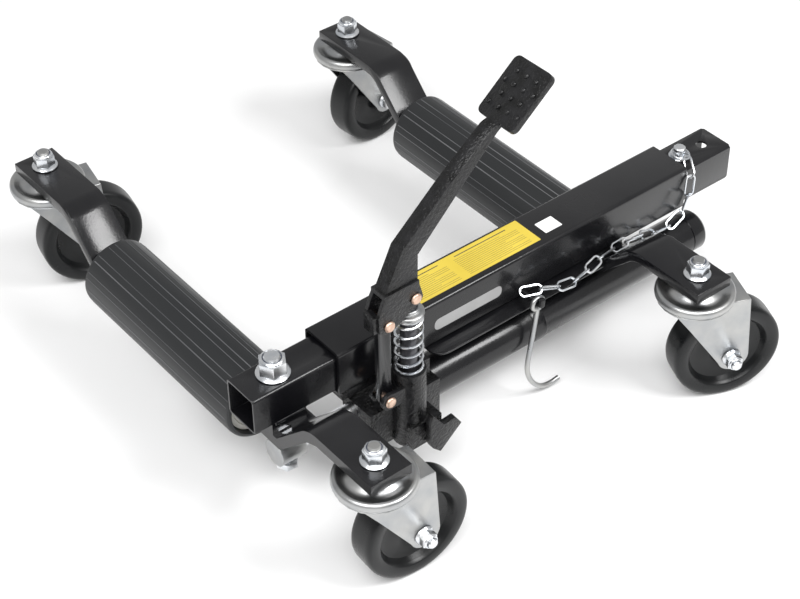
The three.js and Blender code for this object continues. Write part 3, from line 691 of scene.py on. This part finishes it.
# ---- pump ----
PUMP_X, PUMP_Y = middle("spring_cap")[:2]
stand_for("pump_body", soften(copy_of("pump_body"), 1.3, 3, 32), smooth=50)
stand_for("release_lever", soften(copy_of("release_lever"), 1.0, 3, 32), smooth=50)
stand_for("pedal_link", soften(copy_of("pedal_link"), 0.8, 2, 40))
stand_for("pump_piston", soften(copy_of("pump_piston"), 0.6, 2, 40))
cap_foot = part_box("spring_cap")[0].z / MM
stand_for("spring_cap", moved(turned([
    (8.2, cap_foot), (14.2, cap_foot), (14.5, cap_foot + 0.5), (14.5, cap_foot + 3.2),
    (13.9, cap_foot + 3.8),
    (11.4, cap_foot + 4.4), (10.9, cap_foot + 5.2), (10.9, cap_foot + 6.0), (10.2, cap_foot + 6.4),
    (10.2, cap_foot + 7.8), (9.6, cap_foot + 8.4), (8.2, cap_foot + 8.4), (8.2, cap_foot),
], 56), placed(PUMP_X, PUMP_Y, 0)), satin_zinc)

SPRING_WIRE = 1.4
SPRING_COIL = 12.6
SPRING_TURNS = 7
STEPS_A_TURN = 22
CLOSED_TURNS = 0.8


def spring_points(foot, top):
    """The coil's line; its first and last turns lie closed on themselves."""
    points = []
    for i in range(SPRING_TURNS * STEPS_A_TURN + 1):
        share = i / (SPRING_TURNS * STEPS_A_TURN)
        turns = share * SPRING_TURNS
        run = min(max((turns - CLOSED_TURNS) / (SPRING_TURNS - 2 * CLOSED_TURNS), 0), 1)
        height = foot + (top - foot) * (0.05 * share + 0.95 * run)
        angle = math.tau * turns
        points.append(at(
            PUMP_X + SPRING_COIL * math.cos(angle), PUMP_Y + SPRING_COIL * math.sin(angle), height,
        ))
    return points


spring_low, spring_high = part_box("pump_spring")
spring_line = spring_points(spring_low.z / MM + SPRING_WIRE, spring_high.z / MM - SPRING_WIRE)
spring = stand_for("pump_spring", swept(spring_line, SPRING_WIRE, 12, smooth=False), bright_zinc)
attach(spring, "frame")
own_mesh(spring)


def rivet(node):
    """A shank with a domed head at each end."""
    low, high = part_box(node)
    end = (high.y - low.y) / 2 / MM
    shape = turned([
        (0, -end), (3.6, -end), (4.8, -end + 0.5), (5.5, -end + 1.5), (5.5, -end + 2.5), (4, -end + 2.5),
        (4, end - 2.5), (5.5, end - 2.5), (5.5, end - 1.5), (4.8, end - 0.5), (3.6, end), (0, end),
    ], 36)
    stand_for(node, moved(shape, Matrix.Translation((low + high) / 2) @ ALONG_Y))


for rivet_node in ("fulcrum_rivet", "piston_rivet", "link_rivet"):
    rivet(rivet_node)

# ---- pedal ----
pedal = copy_of("pedal")
pad_mount = next(mount for mount in record["mounts"] if mount["name"] == "foot_pad")
pad_centre = Vector(pad_mount["pos_m"])
pad_normal = Vector(pad_mount["axis"]).normalized()
pad_along = Vector((0, 1, 0)).cross(pad_normal).normalized()
pad_across = pad_normal.cross(pad_along)


def pad_corner(edge):
    run = edge.verts[0].co - edge.verts[1].co
    offset = (edge.verts[0].co + edge.verts[1].co) / 2 - pad_centre
    return abs(run.normalized().dot(pad_normal)) > 0.98 and abs(offset.y) > 0.02


soften(pedal, 6, 5, chosen=pad_corner)
soften(pedal, 1.3, 3, 30)
stand_for("pedal", pedal, smooth=50)
pad_frame = Matrix((pad_along, pad_across, pad_normal)).transposed().to_4x4()
STUD_ROWS = (4, 3, 4, 3)
ROW_PITCH, STUD_PITCH = 11.5, 13
studs = bmesh.new()
for row, count in enumerate(STUD_ROWS):
    for column in range(count):
        along = -17 + row * ROW_PITCH
        across = (column - (count - 1) / 2) * STUD_PITCH
        stud = turned([(0, -0.5), (2.5, -0.5), (2.5, 0.6), (2.2, 1.3), (1.4, 1.9), (0, 2.1)], 18)
        place = Matrix.Translation(pad_centre + pad_along * along * MM + pad_across * across * MM)
        add_shape(studs, stud, place @ pad_frame)
make("pedal_studs", studs, "pedal_lever", rough_casting)

# ---- lock pin, chain and hooks ----
pin_x = middle("lock_pin")[0]
tip, crown = (corner.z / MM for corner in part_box("lock_pin"))
collar = tube_top + SEAM
stand_for("lock_pin", moved(turned([
    (0, tip), (3.2, tip), (4.2, tip + 1), (5, tip + 3.4), (5, collar), (10.1, collar), (10.5, collar + 0.4),
    (10.5, collar + 1.6), (10.1, collar + 2), (5.2, collar + 2), (4.9, collar + 2.6), (4.9, collar + 5.4),
    (5.4, collar + 5.8), (6, collar + 6.3), (6, crown - 1.2), (5.1, crown - 0.3), (4.2, crown), (0, crown),
], 40), placed(pin_x, 0, 0)), bright_zinc)

CHAIN_ROUTE = [
    (538.7, -13, 163.5), (531.5, -27, 157), (528.4, -30, 143.2), (526.4, -30, 126), (519.5, -30, 113),
    (508.5, -30.5, 106), (494, -31, 104.5), (478.2, -31, 108), (462.3, -31.5, 114.5), (446, -32, 118.5),
    (428.5, -33, 120), (411.6, -35, 121), (396.2, -37, 121), (380.6, -41, 120), (363.7, -45, 119.4),
    (348.4, -46, 120.8), (333.2, -44, 123.9), (320, -41, 128.5), (312, -38.5, 131.5), (306.5, -36.5, 131.6),
    (300, -34, 130), (290, -32, 127.5),
]
LINK_LENGTH, LINK_WIDTH, LINK_WIRE = 25.0, 11.6, 1.15


def chain_link():
    """One long welded link, lying flat on the origin."""
    bend_radius = LINK_WIDTH / 2 - LINK_WIRE
    straight = LINK_LENGTH / 2 - LINK_WIDTH / 2
    points = []
    for end in (1, -1):
        for i in range(9):
            angle = math.pi * (i / 8 - 0.5)
            points.append(Vector((
                end * (straight + bend_radius * math.cos(angle)) * MM,
                end * bend_radius * math.sin(angle) * MM,
                0,
            )))
    return swept(points, LINK_WIRE, 8, closed=True, smooth=False)


def spaced(points, pitch):
    """Points a pitch apart along a line."""
    found = [points[0]]
    previous = points[0]
    left = pitch
    for target in points[1:]:
        while (target - previous).length >= left:
            previous = previous + (target - previous).normalized() * left
            found.append(previous)
            left = pitch
        left -= (target - previous).length
        previous = target
    return found


route = [at(*place) for place in CHAIN_ROUTE]
pitch = (LINK_LENGTH - 4 * LINK_WIRE + 0.5) * MM
stations = spaced(route, pitch)
chain = bmesh.new()
for i, (a, b) in enumerate(zip(stations, stations[1:])):
    direction = (b - a).normalized()
    across = direction.cross(Vector((0, 0, 1))).normalized()
    lift = across.cross(direction)
    tilt = math.radians(38 if i % 2 else -52)
    side_axis = across * math.cos(tilt) + lift * math.sin(tilt)
    turn = Matrix((direction, side_axis, direction.cross(side_axis))).transposed().to_4x4()
    add_shape(chain, chain_link(), Matrix.Translation((a + b) / 2) @ turn)
pin_loop = [
    at(pin_x + 8.4 * math.cos(t), -2 + 9.6 * math.sin(t), collar + 4.2 + 1.0 * math.sin(t))
    for t in [math.tau * i / 24 for i in range(24)]
]
add_shape(chain, swept(pin_loop, 1.1, 8, closed=True, smooth=False))
stand_for("pin_chain", chain, bright_zinc)

hook_joint = Vector(joints["hook_swing"]["pos_m"])
hook_x = (hook_joint.x - start_x) / MM
hook_y = (hook_joint.y - centre_y) / MM
hook_z = hook_joint.z / MM
bracket_tip = (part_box("hook_bracket")[0].y - centre_y) / MM + 3
bracket_points = [at(hook_x, y, hook_z + rise) for y, rise in (
    (-24.6, 0), (-40, 0), (bracket_tip + 3, 0), (bracket_tip + 0.4, 0.8), (bracket_tip, 4), (bracket_tip, 9),
)]
stand_for("hook_bracket", soften(swept(bracket_points, 2.9, 16), 0.5, 2, 60))
hook_points = [at(hook_x + dx, hook_y, hook_z + dz) for dx, dz in (
    (-0.5, -6.8), (-2, -18), (-5, -40), (-7.8, -58), (-9.8, -72), (-9.8, -81), (-7.8, -89), (-4.4, -97),
    (0.5, -104.5), (6, -110.5), (13, -114.6), (20, -116), (26, -116.2), (33, -115),
)]
hook = swept(hook_points, 2.6, 16)
eye_points = [
    at(hook_x + 6.6 * math.cos(t), hook_y, hook_z + 6.6 * math.sin(t))
    for t in [math.tau * i / 28 for i in range(28)]
]
add_shape(hook, swept(eye_points, 2.4, 16, closed=True, smooth=False))
stand_for("storage_hook", hook, satin_zinc)


# ---- labels on the tube ----
LABEL_THICKNESS = 0.12
PRINT_THICKNESS = 0.03
LINE_PITCH = 2.45
label_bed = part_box("outer_tube")[1].z / MM + 0.02


def flat_on_tube(x0, x1, y0, y1, thickness, corner=0, lift=0.0):
    shape = slab(x1 - x0, y1 - y0, thickness, corner, 0)
    return moved(shape, placed((x0 + x1) / 2, (y0 + y1) / 2, label_bed + lift))


def label(name, x0, x1, y0, y1, finish, corner):
    shape = flat_on_tube(x0, x1, y0, y1, LABEL_THICKNESS, corner)
    return make(name, shape, "frame", finish)


def add_dash(dashes, x0, x1, y0, y1):
    add_shape(dashes, flat_on_tube(x0, x1, y0, y1, PRINT_THICKNESS, lift=LABEL_THICKNESS + 0.01))


label("yellow_label", 160, 339, -17, 20.5, label_yellow, 1.2)
dashes = bmesh.new()
for column_start, column_end in ((166, 246), (254, 333)):
    for row in range(11):
        y = 11.5 - row * LINE_PITCH
        length = (column_end - column_start) * (0.97 if row % 4 else 0.72)
        add_dash(dashes, column_start, column_start + length, y - 0.18, y + 0.18)
for heading_start, heading_end in ((168, 238), (258, 322)):
    add_dash(dashes, heading_start, heading_end, 15.0, 16.1)
make("yellow_label_dashes", dashes, "frame", label_ink)
on_front = placed(242, -25.02, 136.5, Matrix.Rotation(math.pi / 2, 4, "X"))
front_panel = moved(slab(82, 13, LABEL_THICKNESS, 5.5, 0), on_front)
make("plain_front_panel", front_panel, "frame", panel_grey)
label("small_white_label", 349, 370, -13, 4, label_white, 1.0)


# ---- weld beads ----
RIPPLE_PITCH = 1.6


def bead(name, body, start, end, radius=2.2):
    """A rippled fillet of weld from start to end, in millimetres."""
    a, b = at(*start), at(*end)
    count = max(int((b - a).length / (RIPPLE_PITCH * MM)), 2)
    points = [a.lerp(b, i / count) for i in range(count + 1)]
    shape = swept(points, radius, 12, smooth=False)
    along = (b - a).normalized()
    for vert in shape.verts:
        share = (vert.co - a).dot(along)
        centre = a + along * share
        ripple = 0.86 + 0.14 * math.cos(share / MM / RIPPLE_PITCH * math.pi)
        vert.co = centre + (vert.co - centre) * ripple
    make(name, soften(shape, 0.6, 2, 60), body, gloss_paint)


WELD_Y = -18.6
right_x = middle("right_near_arm")[0]
outer_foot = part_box("outer_tube")[0].z / MM - 0.4
inner_foot = beam_low.z / MM - 0.4
pump_foot = outer_foot - 0.1
bead("right_arm_weld", "frame", (right_x - 19, WELD_Y, outer_foot), (right_x + 19, WELD_Y, outer_foot))
bead("left_arm_weld", "sliding_side", (22, WELD_Y, inner_foot), (55, WELD_Y, inner_foot))
bead("pump_weld", "frame", (157, -24.4, pump_foot), (184, -24.4, pump_foot), 2.0)

# ---- floor and light ----
floor_mesh = bpy.data.meshes.new("floor")
floor_shape = bmesh.new()
bmesh.ops.create_grid(floor_shape, x_segments=1, y_segments=1, size=6)
floor_shape.to_mesh(floor_mesh)
floor_shape.free()
floor = bpy.data.objects.new("floor", floor_mesh)
bpy.context.scene.collection.objects.link(floor)
floor_mesh.materials.append(floor_paint)

world = bpy.data.worlds.new("studio")
world.use_nodes = True
world.node_tree.nodes["Background"].inputs["Color"].default_value = (1, 1, 1, 1)
world.node_tree.nodes["Background"].inputs["Strength"].default_value = 0.55
bpy.context.scene.world = world


def soft_light(name, place, target, size, power):
    data = bpy.data.lights.new(name, "AREA")
    data.shape = "RECTANGLE"
    data.size, data.size_y = size
    data.energy = power
    light = bpy.data.objects.new(name, data)
    light.location = place
    light.rotation_mode = "QUATERNION"
    light.rotation_quaternion = (Vector(place) - Vector(target)).to_track_quat("Z", "Y")
    bpy.context.scene.collection.objects.link(light)


soft_light("key", (-1.5, -1.0, 2.4), (0, 0, 0.1), (2.4, 1.8), 75)
soft_light("side", (0.54, -1.22, 1.66), (-0.2, 0.17, 0.12), (0.9, 0.6), 27)
bpy.context.scene.view_settings.view_transform = "Standard"
